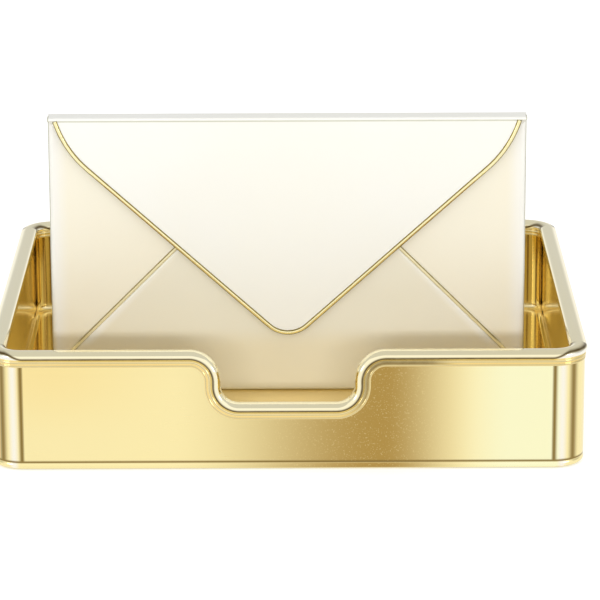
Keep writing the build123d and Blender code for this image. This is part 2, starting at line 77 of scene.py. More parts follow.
class Net:
    """One node tree, with a single way to add a node."""

    def __init__(self, tree):
        self.tree = tree
        tree.nodes.clear()

    def node(self, kind, settings=None, values=None, out=0):
        """Add a node: its settings first, then the values or links of its sockets."""
        made = self.tree.nodes.new(kind)
        for key, value in (settings or {}).items():
            setattr(made, key, value)
        for key, value in (values or {}).items():
            target = made.inputs[key]
            if isinstance(value, Sock):
                self.tree.links.new(value.socket, target)
            else:
                target.default_value = value
        return Sock(self, made.outputs[out]) if made.outputs else made

    def mix(self, factor, low, high):
        """Colour mix; the Mix node's sockets 6, 7 and 2 are its two colours and its result."""
        low = low if isinstance(low, Sock) else (*low, 1.0)
        high = high if isinstance(high, Sock) else (*high, 1.0)
        return self.node(
            "ShaderNodeMix", {"data_type": "RGBA"}, {"Factor": factor, 6: low, 7: high}, out=2
        )

    def place(self):
        """Object coordinates, in metres."""
        return self.node("ShaderNodeTexCoord", out="Object")

    def axes(self, vector):
        """The three numbers of a vector."""
        split = self.node("ShaderNodeSeparateXYZ", None, {0: vector}).socket.node
        return [Sock(self, output) for output in split.outputs]

    def noise(self, where, scale, detail, rough=0.5):
        """Noise from 0 to 1; the scale is in cells to the metre."""
        return self.node("ShaderNodeTexNoise", None,
                         {"Vector": where, "Scale": scale, "Detail": detail, "Roughness": rough})

    def streaks(self, where, scales, detail=3.0, rough=0.6):
        """Noise from 0 to 1 with a scale for each axis, drawn out where the scale is small."""
        scaled = self.node("ShaderNodeVectorMath", {"operation": "MULTIPLY"},
                           {0: where, 1: scales})
        return self.noise(scaled, 1.0, detail, rough)

    def bump(self, height, distance, strength):
        """Normal from a height that spans distance, in metres."""
        return self.node("ShaderNodeBump", None,
                         {"Height": height, "Distance": distance, "Strength": strength})

    def finish(self, values, normal):
        """Principled surface to the output. Plain numbers go straight onto its sockets."""
        shader = self.node("ShaderNodeBsdfPrincipled", None, {**values, "Normal": normal})
        self.node("ShaderNodeOutputMaterial", None, {"Surface": shader})


def material(name):
    """A new node material and its net."""
    made = bpy.data.materials.new(name)
    made.use_nodes = True
    return made, Net(made.node_tree)


# ---------------------------------------------------------------- colours
# Two colours in one line are the ends of a finish's slow drift.
GOLD_LIGHT = (1.0, 0.86, 0.44)
GOLD_WARM = (1.0, 0.79, 0.34)
# Painted reflections on the front face, a light one and a dark one
GOLD_LIGHT_REFLECTION = (1.0, 0.97, 0.61)
GOLD_DARK_REFLECTION = (0.46, 0.29, 0.073)
# Painted glint of the round corners
GOLD_PAINTED_GLINT = (1.0, 0.95, 0.80)
# Painted shade, and the dark streaks of the corners' painted reflections
SHADE_BROWN = (0.27, 0.175, 0.045)
# Painted shade and dark reflections on the rim's lines
RIM_SHADE_BROWN = (0.12, 0.075, 0.018)
BEAD_TONES = (1.0, 0.93, 0.66), (0.99, 0.90, 0.60)
# Painted glint where the bead's shade line climbs round a corner
BEAD_GLINT = (1.0, 0.97, 0.86)
ROLL_TONES = (0.98, 0.81, 0.42), (0.94, 0.76, 0.36)
# The liner in two tones of painted light: walls shaded, floor lit
LINER_WALL_SHADED_TONES = (0.88, 0.68, 0.23), (0.82, 0.62, 0.19)
LINER_FLOOR_LIT_TONES = (1.0, 0.85, 0.48), (0.98, 0.81, 0.42)
# Painted dark reflections in the liner's round corners
LINER_CORNER_REFLECTION_BROWN = (0.24, 0.14, 0.03)
SHEET_TONES = (0.52, 0.40, 0.20), (0.66, 0.50, 0.26)
ZINC_TONES = (0.50, 0.49, 0.47), (0.66, 0.65, 0.62)
# Painted shade of the driver socket
SOCKET_SHADE_BLACK = (0.05, 0.05, 0.05)
RUBBER_TONES = (0.02, 0.02, 0.02), (0.06, 0.058, 0.055)
# One board in three tones of painted light: the flap lit, the sides shaded, the front shaded more
FLAP_BOARD_LIT_TONES = (0.985, 0.975, 0.90), (0.99, 0.985, 0.93)
SIDE_BOARD_SHADED_TONES = (0.97, 0.915, 0.75), (0.985, 0.94, 0.79)
FRONT_BOARD_DEEP_SHADED_TONES = (0.90, 0.855, 0.70), (0.92, 0.88, 0.74)
# Painted highlight along the outer sides of the side panels
BOARD_PAINTED_HIGHLIGHT = (0.98, 0.965, 0.90)
# Painted warm bounce light from the gilt at the foot of the front
BOARD_PAINTED_BOUNCE = (0.92, 0.72, 0.30)
# Painted shade at the board's edges and crease
BOARD_EDGE_SHADE = (0.62, 0.61, 0.49)
# Painted highlight of the lip inside each seam
BOARD_LIP_HIGHLIGHT = (1.0, 0.99, 0.92)
FLAP_WIRE_TONES = (1.0, 0.93, 0.58), (1.0, 0.88, 0.46)
# Painted shade at the flap wire's foot
FLAP_WIRE_SHADE = (0.26, 0.19, 0.025)
SEAM_WIRE_TONES = (1.0, 0.96, 0.70), (1.0, 0.91, 0.58)
# Painted shade along the seam wire's sides
SEAM_WIRE_SHADE = (0.30, 0.23, 0.06)
FLOOR_WHITE = (0.93, 0.93, 0.92, 1.0)
PLAIN_WHITE = (1.0, 1.0, 1.0, 1.0)


# ---------------------------------------------------------------- gilt metals
# A pair of places, in metres, is a band for step: where a tone starts and where it is full.
# A peak, for bell, is a centre and a half width.
FRONT_FACE = (-0.1149, -0.1153)
FLAT_WALL = (0.1184, 0.1176)
# Where the painted dark and light reflections lie on the front face
DARK_REFLECTION_FROM_NOTCH, DARK_REFLECTION_FROM_RIGHT = (-0.055, 0.040), (0.086, 0.042)
LIGHT_REFLECTION_RIGHT = (0.070, 0.100)
WARM_LEFT, WARM_UP = (-0.040, -0.110), (0.010, 0.046)
CORNER_ALONG_X, CORNER_ALONG_Y = (0.1170, 0.1174), (0.1000, 0.1004)
# Painted reflections in the round corners: the bright glint and the dark streaks beside it
CORNER_GLINT_PEAK = (0.1219, 0.0028)
CORNER_INNER_SHADE, CORNER_OUTER_SHADE = (0.1183, 0.0019), (0.1268, 0.0027)
GLINT_FOOT, SHADE_FOOT = (0.0006, 0.0016), (0.0038, 0.0046)
# Painted shade in the groove over the foot and under the foot roll
FOOT_GROOVE = (0.0040, 0.0010)
SATIN_FOOT = (0.0040, 0.0044)
FOOT_SHADE = (0.0012, 0.0004)
UNDERSIDE = (0.0012, 0.0008)

SCREW_X, SCREW_Y = 0.1160, 0.0990
# Painted shade in the gap round each screw head
SCREW_RING = (0.0030, 0.0004)
SOCKET_RIM, SOCKET_DEPTH = (0.0013, 0.0011), (0.0008, 0.0005)

LINER_WALL_FOOT = (0.0105, 0.0150)
# Where the painted reflection streaks of the liner's corners lie
LINER_CORNER = ((0.1140, 0.1165), (0.0970, 0.0995), (0.012, 0.014))

# Where the bead's painted shade line climbs round the corners as a painted reflection
RIM_TURN_Y, RIM_TURN_X = (0.1000, 0.1006), (0.1172, 0.1255)
# Where the painted dark reflection lies on the rolls right of the notch
DARK_REFLECTION_BY_NOTCH = ((0.022, 0.040), (0.078, 0.060), (-0.110, -0.1125))

# On the rim's section, in millimetres above the middle of the bead.
# Painted shade line on the bead's lower face, and the painted glint under it at the corners
BEAD_LINE, BEAD_LINE_HALF = -0.80, 0.95
BEAD_LINE_CLIMB = 2.3
GLINT_START, GLINT_FULL = BEAD_LINE - 0.5, BEAD_LINE - 0.9
# Painted dark reflections: along the middle of each roll, and over the rolls right of the notch
ROLL_DARK_REFLECTIONS = ((-2.50, 0.45), (-4.05, 0.50))
ROLL_SHADE = (-2.7, 2.0)


def drift_of_gilt(net, where):
    """Slow drift of the plating's colour, 0 to 1."""
    return net.noise(where, scale=9.0, detail=3.0).step(0.3, 0.75)


def smears(net, where):
    """Faint smears left by the polishing cloth, 0 to 1."""
    return net.noise(where, scale=60.0, detail=4.0, rough=0.6).step(0.45, 0.8)


def polish_waves(net, where, distance, strength):
    """Bump of the soft waves that polishing leaves."""
    return net.bump(net.noise(where, scale=35.0, detail=1.0), distance, strength)


def from_screw(x, y):
    """Distance in plan from the nearest screw's axis."""
    return ((x.abs() - SCREW_X) ** 2.0 + (y.abs() - SCREW_Y) ** 2.0) ** 0.5


def face_gilt():
    """Outside of the tray: satin flats, with a painted dark reflection right of the notch and a
    paler painted one towards the right end, and polished corners.

    The round corners carry painted reflections, a bright glint between soft dark upright streaks,
    and painted shade lies in the groove over the foot, under the foot roll and round each screw
    head.
    """
    made, net = material("satin_gilt_face")
    where = net.place()
    x, y, z = net.axes(where)
    across = x.abs()
    cloud = net.noise(where, scale=14.0, detail=3.0)

    # Painted reflections: a dark band right of the notch and a paler right end of the front
    front = y.step(*FRONT_FACE)
    dark_reflection = x.step(*DARK_REFLECTION_FROM_NOTCH) * x.step(*DARK_REFLECTION_FROM_RIGHT) * front
    pale = x.step(*LIGHT_REFLECTION_RIGHT) * front
    warm = 0.7 * z.step(*WARM_UP) * x.step(*WARM_LEFT) * front
    colour = net.mix(pale, net.mix(warm, GOLD_LIGHT, GOLD_WARM), GOLD_LIGHT_REFLECTION)
    colour = net.mix((dark_reflection + 0.05 * (cloud - 0.5)).max(0.0).min(1.0), colour, GOLD_DARK_REFLECTION)
    speck = net.noise(where, scale=1500.0, detail=1.0).step(0.60, 0.72)
    colour = net.mix(0.30 * speck * dark_reflection, colour, GOLD_LIGHT)

    # Painted reflections in the round corners: a bright glint between dark upright streaks
    corner = across.step(*CORNER_ALONG_X) * y.abs().step(*CORNER_ALONG_Y)
    glint = corner * across.bell(*CORNER_GLINT_PEAK)
    shade = across.bell(*CORNER_INNER_SHADE).max(0.95 * across.bell(*CORNER_OUTER_SHADE))
    colour = net.mix(glint * z.step(*GLINT_FOOT), colour, GOLD_PAINTED_GLINT)
    colour = net.mix(corner * shade * z.step(*SHADE_FOOT), colour, SHADE_BROWN)

    # Painted shade: in the groove over the foot, under the foot roll and in the gap round each
    # screw head
    foot = 0.5 * z.step(*FOOT_SHADE)
    ring = from_screw(x, y).bell(*SCREW_RING) * z.step(*UNDERSIDE)
    colour = net.mix(z.bell(*FOOT_GROOVE).max(foot).max(ring), colour, SHADE_BROWN)

    brush = net.streaks(where, (40.0, 2600.0, 2600.0), rough=0.7)
    grain = net.noise(where, scale=2600.0, detail=2.0, rough=0.6)
    satin = across.step(*FLAT_WALL) * z.step(*SATIN_FOOT)
    net.finish({"Base Color": colour, "Metallic": 1.0,
                "Roughness": 0.07 + satin * (0.17 + 0.07 * brush) + 0.03 * cloud},
               net.bump((0.6 * brush + 0.4 * grain) * satin, distance=0.00001, strength=0.5))
    return made


def liner_gilt():
    """Inside of the tray: walls browner and floor paler as painted shade and light, with painted
    dark reflections as upright streaks in its corners.
    """
    made, net = material("liner_gilt")
    where = net.place()
    x, y, z = net.axes(where)
    drift = drift_of_gilt(net, where)
    # Painted light and shade: the walls take a darker copy of the gilt, the floor a paler one
    colour = net.mix(z.step(*LINER_WALL_FOOT), net.mix(drift, *LINER_FLOOR_LIT_TONES),
                     net.mix(drift, *LINER_WALL_SHADED_TONES))
    # Painted reflections: dark upright streaks in the round corners
    in_x, in_y, in_z = LINER_CORNER
    corner = x.abs().step(*in_x) * y.abs().step(*in_y) * z.step(*in_z)
    reflection_streak = net.streaks(where, (420.0, 420.0, 3.0), detail=2.0).step(0.46, 0.60)
    colour = net.mix(0.85 * corner * reflection_streak, colour, LINER_CORNER_REFLECTION_BROWN)
    speck = net.noise(where, scale=900.0, detail=1.0).step(0.68, 0.80)
    net.finish({"Base Color": colour, "Metallic": 1.0,
                "Roughness": 0.09 + 0.05 * smears(net, where) + 0.10 * speck},
               polish_waves(net, where, distance=0.00006, strength=0.35))
    return made


def section_height(net):
    """Height on the rim's own section, which the rim pieces carry as an attribute."""
    return net.node("ShaderNodeAttribute", {"attribute_name": "up_mm"}, out="Fac")


def finish_rim(net, where, colour, dark):
    """Polished gilt of the rim, with painted shade and dark reflections as lines ragged along
    their edges.
    """
    dark = (dark * (0.85 + 0.3 * net.noise(where, scale=260.0, detail=3.0))).min(1.0)
    net.finish({"Base Color": net.mix(dark, colour, RIM_SHADE_BROWN), "Metallic": 1.0,
                "Roughness": 0.05 + 0.05 * smears(net, where) + 0.25 * dark},
               polish_waves(net, where, distance=0.00003, strength=0.12))


def bead_gilt():
    """The bead: a painted shade line low on its face, which climbs round the corners as a painted
    reflection over a painted glint.
    """
    made, net = material("bead_gilt")
    where = net.place()
    x, y, _ = net.axes(where)
    # Painted shade line, which climbs round the corners as a painted reflection over a painted
    # glint
    climb = y.abs().step(*RIM_TURN_Y) * x.abs().step(*RIM_TURN_X)
    height = section_height(net) - BEAD_LINE_CLIMB * climb
    glint = climb.step(0.0, 0.25) * height.step(GLINT_START, GLINT_FULL)
    colour = net.mix(glint, net.mix(drift_of_gilt(net, where), *BEAD_TONES), BEAD_GLINT)
    finish_rim(net, where, colour, height.bell(BEAD_LINE, BEAD_LINE_HALF))
    return made


def roll_gilt():
    """The two rolls under the bead: a painted dark reflection along the middle of each, and a
    browner painted dark reflection over the rolls right of the notch.
    """
    made, net = material("roll_gilt")
    where = net.place()
    x, y, _ = net.axes(where)
    height = section_height(net)
    # Painted dark reflections: along the middle of each roll, and over the rolls right of the
    # notch
    upper, lower = (height.bell(*groove) for groove in ROLL_DARK_REFLECTIONS)
    from_notch, from_right, at_front = DARK_REFLECTION_BY_NOTCH
    beside = x.step(*from_notch) * x.step(*from_right) * y.step(*at_front)
    dark = (0.35 * upper.max(lower)).max(0.75 * beside * height.bell(*ROLL_SHADE))
    finish_rim(net, where, net.mix(drift_of_gilt(net, where), *ROLL_TONES), dark)
    return made


# ---------------------------------------------------------------- hidden fittings
def zinc_screw():
    """Zinc screws: turned rings on the head, and painted shade as a dark disc for the driver
    socket.
    """
    made, net = material("zinc_screw")
    where = net.place()
    x, y, z = net.axes(where)
    away = from_screw(x, y)
    turned = net.noise(away, scale=5200.0, detail=1.0)
    mottled = net.noise(where, scale=300.0, detail=3.0)
    # Painted shade: a dark disc stands for the driver socket's hollow
    socket = away.step(*SOCKET_RIM) * z.step(*SOCKET_DEPTH)
    colour = net.mix(socket, net.mix(mottled, *ZINC_TONES), SOCKET_SHADE_BLACK)
    net.finish({"Base Color": colour, "Metallic": 1.0, "Roughness": 0.28 + 0.12 * turned},
               net.bump(turned, distance=0.00002, strength=0.4))
    return made


def plain_sheet():
    """Unpolished sheet: mottled colour, rolling marks along X."""
    made, net = material("plain_sheet")
    where = net.place()
    mottled = net.noise(where, scale=22.0, detail=4.0, rough=0.6)
    rolled = net.streaks(where, (30.0, 1400.0, 1400.0))
    net.finish({"Base Color": net.mix(mottled, *SHEET_TONES), "Metallic": 1.0,
                "Roughness": 0.38 + 0.15 * rolled},
               net.bump(rolled, distance=0.00003, strength=0.5))
    return made


def pad_rubber():
    """Moulded rubber: dusty, with a fine grain."""
    made, net = material("pad_rubber")
    where = net.place()
    grain = net.noise(where, scale=900.0, detail=3.0, rough=0.7)
    dust = net.noise(where, scale=40.0, detail=3.0)
    net.finish({"Base Color": net.mix(dust, *RUBBER_TONES), "Roughness": 0.75 + 0.15 * grain},
               net.bump(grain, distance=0.0001, strength=0.6))
    return made


# ---------------------------------------------------------------- pearly board and its piping
# Where the painted side highlight and the painted bounce at the front's foot lie
PAINTED_HIGHLIGHT_SIDES = (0.100, 0.1085)
PAINTED_BOUNCE_UP, FRONT_OF_BACK_PANEL = (0.042, 0.030), (-0.020, -0.024)
# Where painted shade greys the cut sides, the top of the back and the crease
CUT_SIDES, FRONT_PANELS = (0.1092, 0.1096), (-0.0235, -0.0250)
BACK_TOP_EDGE, BACK_PANEL = (0.1400, 0.1405), (-0.0203, -0.0192)
CREASE, FLAP_FACE = (0.1394, 0.0006), (-0.0285, -0.0292)

# Along both seams the distance from the middle plus the height keeps this sum.
SEAM_SUM = 0.13055
SEAM_FOOT_Z = 0.030
ABOVE_SEAM_FOOT = (SEAM_FOOT_Z, 0.036)
# Where the painted highlight of the seam's lip lies
LIP_START, LIP_END, LIP_TAPER = (0.0006, 0.0014), (0.0085, 0.0030), 0.085
# Where the painted shade lines lie along the seam wire's sides
SEAM_OUTER_LINE, SEAM_INNER_LINE = (0.0003, 0.0008), (-0.0006, -0.0010)
SEAM_RAGGED = 0.0002

FLAP_WIRE_Y = -0.0297
FLAP_WIRE_PROUD = 0.00068
FLAP_WIRE_RAGGED = 0.0001


def pearl_board(name, tones, foot_glow=False, seam_edge=False):
    """Cream satin board with a pearl coat: soft mottling, paper tooth and a faint sheen.

    The cut edges and the crease are greyer with painted shade. With foot_glow the sides take a
    painted highlight and the foot of the front a painted warm bounce light from the gilt.
    With seam_edge a painted highlight runs as a pale lip inside each seam.
    """
    made, net = material(name)
    where = net.place()
    x, y, z = net.axes(where)
    cloud = net.noise(where, scale=11.0, detail=3.0, rough=0.55)
    tooth = net.noise(where, scale=1500.0, detail=3.0, rough=0.65)
    fibre = net.streaks(where, (260.0, 260.0, 700.0))
    colour = net.mix(cloud.step(0.3, 0.7), *tones)
    if foot_glow:
        # Painted highlight along the outer sides
        edge = x.abs().step(*PAINTED_HIGHLIGHT_SIDES)
        colour = net.mix(edge, colour, BOARD_PAINTED_HIGHLIGHT)
        # Painted warm bounce light from the gilt tray on the foot of the front
        bounce = z.step(*PAINTED_BOUNCE_UP) * y.step(*FRONT_OF_BACK_PANEL) * (0.9 + 0.2 * cloud)
        colour = net.mix(0.24 * bounce * (1.0 - 0.5 * edge), colour, BOARD_PAINTED_BOUNCE)
    if seam_edge:
        # Painted highlight: a pale lip along the inside of each seam
        inside = SEAM_SUM - x.abs() - z
        lip_end = (inside + LIP_TAPER * (z - SEAM_FOOT_Z)).step(*LIP_END)
        lip = inside.step(*LIP_START) * lip_end * z.step(*ABOVE_SEAM_FOOT)
        colour = net.mix(0.9 * lip, colour, BOARD_LIP_HIGHLIGHT)
    # Painted shade: greyer along the cut sides, over the top of the back and in the crease
    sides = x.abs().step(*CUT_SIDES) * y.step(*FRONT_PANELS)
    back_edge = z.step(*BACK_TOP_EDGE) * y.step(*BACK_PANEL)
    crease = z.bell(*CREASE) * y.step(*FLAP_FACE)
    colour = net.mix(sides.max(back_edge).max(crease), colour, BOARD_EDGE_SHADE)
    net.finish({"Base Color": colour, "Roughness": 0.40 + 0.10 * cloud + 0.06 * tooth,
                "Coat Weight": 0.25, "Coat Roughness": 0.25},
               net.bump(0.6 * tooth + 0.4 * fibre, distance=0.00002, strength=0.5))
    return made


def wire_grain(net, where):
    """Slow drift of the wire's colour, and how ragged its dark lines are."""
    return net.noise(where, scale=40.0, detail=3.0), net.noise(where, scale=500.0, detail=2.0)


def flap_piping():
    """Gilt wire of the flap: bright along its crown, with painted shade where it meets the board.
    """
    made, net = material("flap_piping")
    where = net.place()
    _, y, _ = net.axes(where)
    drift, ragged = wire_grain(net, where)
    # Painted shade along the wire's foot, where it sinks into the board
    proud = y - FLAP_WIRE_Y + FLAP_WIRE_RAGGED * (ragged - 0.5)
    sunk = proud.step(-FLAP_WIRE_PROUD, -0.8 * FLAP_WIRE_PROUD)
    smear = net.noise(where, scale=90.0, detail=3.0).step(0.4, 0.8)
    net.finish({"Base Color": net.mix(sunk, net.mix(drift, *FLAP_WIRE_TONES), FLAP_WIRE_SHADE),
                "Metallic": 0.75 + 0.25 * sunk, "Roughness": 0.12 + 0.10 * smear + 0.2 * sunk},
               net.bump(ragged, distance=0.00003, strength=0.3))
    return made


def seam_piping():
    """Seam wire: pale crown, with painted shade as a dark line along its outer side and a fainter
    one inside.
    """
    made, net = material("seam_piping")
    where = net.place()
    x, _, z = net.axes(where)
    drift, ragged = wire_grain(net, where)
    # Painted shade: a dark line along the wire's outer side and a fainter one inside
    across = x.abs() + z - SEAM_SUM + SEAM_RAGGED * (ragged - 0.5)
    outer = across.step(*SEAM_OUTER_LINE) * z.step(*ABOVE_SEAM_FOOT)
    shade = outer.max(0.55 * across.step(*SEAM_INNER_LINE))
    net.finish({"Base Color": net.mix(shade, net.mix(drift, *SEAM_WIRE_TONES), SEAM_WIRE_SHADE),
                "Metallic": 0.35, "Roughness": 0.16 + 0.10 * drift + 0.2 * shade},
               net.bump(ragged, distance=0.00003, strength=0.3))
    return made


# ---------------------------------------------------------------- finishes of the CAD nodes
# outer_shell, rim_channel and rim_bead are replaced further down, and need none.
bare_sheet = plain_sheet()
seam_wire = seam_piping()
side_board = pearl_board("pearl_board_sides", SIDE_BOARD_SHADED_TONES, foot_glow=True)
FINISHES = {
    "liner_pan": liner_gilt(),
    "base_plate": bare_sheet,
    "floor_posts": bare_sheet,
    "base_screws": zinc_screw(),
    "foot_pads": pad_rubber(),
    "envelope_back_panel": side_board,
    "envelope_left_side_flap": side_board,
    "envelope_right_side_flap": side_board,
    "envelope_bottom_flap": pearl_board("pearl_board_front", FRONT_BOARD_DEEP_SHADED_TONES,
                                        foot_glow=True, seam_edge=True),
    "envelope_left_seam_bead": seam_wire,
    "envelope_right_seam_bead": seam_wire,
    "envelope_top_flap": pearl_board("pearl_board_flap", FLAP_BOARD_LIT_TONES),
    "flap_edge_bead": flap_piping(),
}
for node_name, finish in FINISHES.items():
    mesh = nodes[node_name].data
    mesh.materials.clear()
    mesh.materials.append(finish)


# ---------------------------------------------------------------- sizes, in millimetres
# The main ones are the solids' own sizes. MM takes them to metres.
MM = 0.001
HALF_WIDTH, HALF_DEPTH, TRAY_HEIGHT = 133.7, 116.7, 55.0

# Rim: the bead's oval, the arc of it that shows, and the two rolls under it.
# An arc is its centre, its radii, and from where to where it turns, in how many steps.
RIM_HALF = 4.2
BEAD_HALF_HEIGHT = 2.4
BEAD_ARC = ((0, 0), (4.05, BEAD_HALF_HEIGHT), -48, 228, 72)
UPPER_ROLL_ARC = ((2.62, -2.48), (0.88, 0.88), 95, -62, 16)
LOWER_ROLL_ARC = ((2.66, -4.10), (0.62, 0.66), 66, -80, 14)
RIM_TURN_STEPS = 28
PATH_X, PATH_Y = HALF_WIDTH - RIM_HALF, HALF_DEPTH - RIM_HALF
PATH_RADIUS = 11.7
PATH_Z = TRAY_HEIGHT - BEAD_HALF_HEIGHT
CORNER_X, CORNER_Y = PATH_X - PATH_RADIUS, PATH_Y - PATH_RADIUS

# Notch, measured on the middle of the bead
NOTCH_HALF_WIDTH, SHOULDER_RADIUS, FOOT_RADIUS, NOTCH_STRAIGHT = 32.2, 11.4, 10.7, 2.2
NOTCH_TOP_X, NOTCH_FLAT_X = NOTCH_HALF_WIDTH + SHOULDER_RADIUS, NOTCH_HALF_WIDTH - FOOT_RADIUS
NOTCH_UPPER_Z = PATH_Z - SHOULDER_RADIUS
NOTCH_LOWER_Z = NOTCH_UPPER_Z - NOTCH_STRAIGHT
NOTCH_FLOOR_Z = NOTCH_LOWER_Z - FOOT_RADIUS

# Shell: its wall ends a fixed drop below the middle of the bead. The groove's heights count
# from the centre of the foot roll, whose arc starts at an angle in degrees.
SHELL_INSET, SHEET, SHELL_LIFT, SHELL_CORNER = 1.2, 1.4, 0.3, 14.7
WALL_EDGE_DROP = 3.6
FOOT_ROLL, FOOT_ROLL_ROWS = 1.9, 14
FOOT_ROLL_START = 40.0
GROOVE_TOP, GROOVE_LIP, GROOVE_FLOOR, GROOVE_DEPTH = 2.0, 1.75, 1.5, 0.12
FLANGE_WIDTH, FLANGE_CORNER = 18.0, 9.0
FLANGE_RUN_IN, FLANGE_RAISE = 0.3, 0.05
INNER_BEND, INNER_BEND_RISE = 1.2, 0.3
SHELL_TURN_STEPS = 26

# Stations this close to a bend keep its shading off the flats.
GUARD = 0.3
# Keeps apart the two stations that end on the notch's upright edge.
EDGE_STATION_GAP = 0.02


# ---------------------------------------------------------------- shell and rim
def surface(name, points, finish, closed_section=True, heights=None):
    """Quads over a grid of points in mm: stations round the tray, points of the section, xyz.

    The stations close on themselves, and so does a closed section. Heights on the section, one
    for each point of it, are kept on the mesh for the materials.
    """
    rows, columns = points.shape[:2]
    i = np.arange(rows)[:, None]
    j = np.arange(columns if closed_section else columns - 1)[None, :]
    i_next, j_next = (i + 1) % rows, (j + 1) % columns
    quads = np.stack([i * columns + j, i_next * columns + j,
                      i_next * columns + j_next, i * columns + j_next], -1).reshape(-1, 4)
    mesh = bpy.data.meshes.new(name)
    mesh.from_pydata((points.reshape(-1, 3) * MM).tolist(), [], quads.tolist())
    mesh.shade_smooth()
    if heights is not None:
        layer = mesh.attributes.new("up_mm", "FLOAT", "POINT")
        layer.data.foreach_set("value", np.tile(heights, rows).astype(np.float32))
    mesh.materials.append(finish)
    piece = bpy.data.objects.new(name, mesh)
    scene.collection.objects.link(piece)
    return piece


def mirrored(half):
    """A right half with its mirror image, in the order of the loop; both ends lie at x = 0."""
    return np.concatenate([half, (half * np.array([-1.0, 1.0, 1.0]))[-2:0:-1]])


def straight(start, end):
    """Four stations on a straight run: both ends, and one close to each of them."""
    start, end = np.array(start, float), np.array(end, float)
    length = np.linalg.norm(end - start)
    parts = np.array([0.0, GUARD / length, 1.0 - GUARD / length, 1.0])[:, None]
    return start + (end - start) * parts


def rim_line():
    """Middle line of the rim bead, with its out and up directions at each station.

    In plan it is a rounded rectangle. At the front it dips: a convex quarter turn, a short
    drop, a concave quarter turn, then the flat of the notch. Up follows the dip.
    """
    turn = np.linspace(0.0, math.pi / 2, RIM_TURN_STEPS + 1)[1:-1]
    zero = np.zeros_like(turn)
    upright, front = (0, 0, 1), (0, -1, 0)
    spots, outs, ups = [], [], []

    def add(spot, out, up):
        spots.append(spot)
        outs.append(np.broadcast_to(out, spot.shape))
        ups.append(np.broadcast_to(up, spot.shape))

    add(straight((0, PATH_Y, PATH_Z), (CORNER_X, PATH_Y, PATH_Z)), (0, 1, 0), upright)
    out = np.stack([np.sin(turn), np.cos(turn), zero], -1)
    add(np.array([CORNER_X, CORNER_Y, PATH_Z]) + PATH_RADIUS * out, out, upright)
    add(straight((PATH_X, CORNER_Y, PATH_Z), (PATH_X, -CORNER_Y, PATH_Z)), (1, 0, 0), upright)
    out = np.stack([np.cos(turn), -np.sin(turn), zero], -1)
    add(np.array([CORNER_X, -CORNER_Y, PATH_Z]) + PATH_RADIUS * out, out, upright)
    add(straight((CORNER_X, -PATH_Y, PATH_Z), (NOTCH_TOP_X, -PATH_Y, PATH_Z)), front, upright)
    up = np.stack([-np.sin(turn), zero, np.cos(turn)], -1)
    add(np.array([NOTCH_TOP_X, -PATH_Y, NOTCH_UPPER_Z]) + SHOULDER_RADIUS * up, front, up)
    add(straight((NOTCH_HALF_WIDTH, -PATH_Y, NOTCH_UPPER_Z),
                 (NOTCH_HALF_WIDTH, -PATH_Y, NOTCH_LOWER_Z)), front, (-1, 0, 0))
    up = np.stack([-np.cos(turn), zero, np.sin(turn)], -1)
    add(np.array([NOTCH_FLAT_X, -PATH_Y, NOTCH_LOWER_Z]) - FOOT_RADIUS * up, front, up)
    add(straight((NOTCH_FLAT_X, -PATH_Y, NOTCH_FLOOR_Z), (0, -PATH_Y, NOTCH_FLOOR_Z)),
        front, upright)
    return [mirrored(np.concatenate(group)) for group in (spots, outs, ups)]


def arc_points(centre, radii, start, end, steps):
    """Points on an ellipse's arc, angles in degrees from straight out."""
    turn = np.radians(np.linspace(start, end, steps + 1))
    return np.stack([centre[0] + radii[0] * np.cos(turn), centre[1] + radii[1] * np.sin(turn)], -1)


def bead_section():
    """Oval bead from its seat over the top and back, closed by a flat below."""
    return arc_points(*BEAD_ARC)


def channel_section():
    """Two small rolls on each side under the bead, the lower one set back."""
    outer = np.concatenate([arc_points(*UPPER_ROLL_ARC), arc_points(*LOWER_ROLL_ARC)])
    inner = outer[::-1] * np.array([-1.0, 1.0])
    return np.concatenate([outer, inner])[::-1]


def rim_pieces():
    """The bead and the rolls under it.

    Each is a closed section carried round the rim line: station, plus the section's first
    number along out, plus its second number along up.
    """
    spots, outs, ups = (way[:, None] for way in rim_line())
    for name, node, section, finish in (
        ("rim_bead_polished", "rim_bead", bead_section(), bead_gilt()),
        ("rim_channel_rolls", "rim_channel", channel_section(), roll_gilt()),
    ):
        points = spots + outs * section[None, :, :1] + ups * section[None, :, 1:]
        piece = surface(name, points, finish, heights=section[:, 1])
        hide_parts(node)
        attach(piece, "tray")


def notch_edge():
    """Upper edge of the shell along the notch, right half: places across and their heights.

    Two quarter turns and the flat: the edge keeps a fixed drop below the middle of the bead.
    """
    shoulder, foot = SHOULDER_RADIUS - WALL_EDGE_DROP, FOOT_RADIUS + WALL_EDGE_DROP
    turn = np.linspace(0.0, math.pi / 2, SHELL_TURN_STEPS + 1)
    x_foot = NOTCH_FLAT_X + foot * np.cos(turn)
    z_foot = NOTCH_LOWER_Z - foot * np.sin(turn)
    x_foot[0] -= EDGE_STATION_GAP
    return (np.concatenate([NOTCH_TOP_X - shoulder * np.sin(turn), x_foot, [0.0]]),
            np.concatenate([NOTCH_UPPER_Z + shoulder * np.cos(turn), z_foot, z_foot[-1:]]))


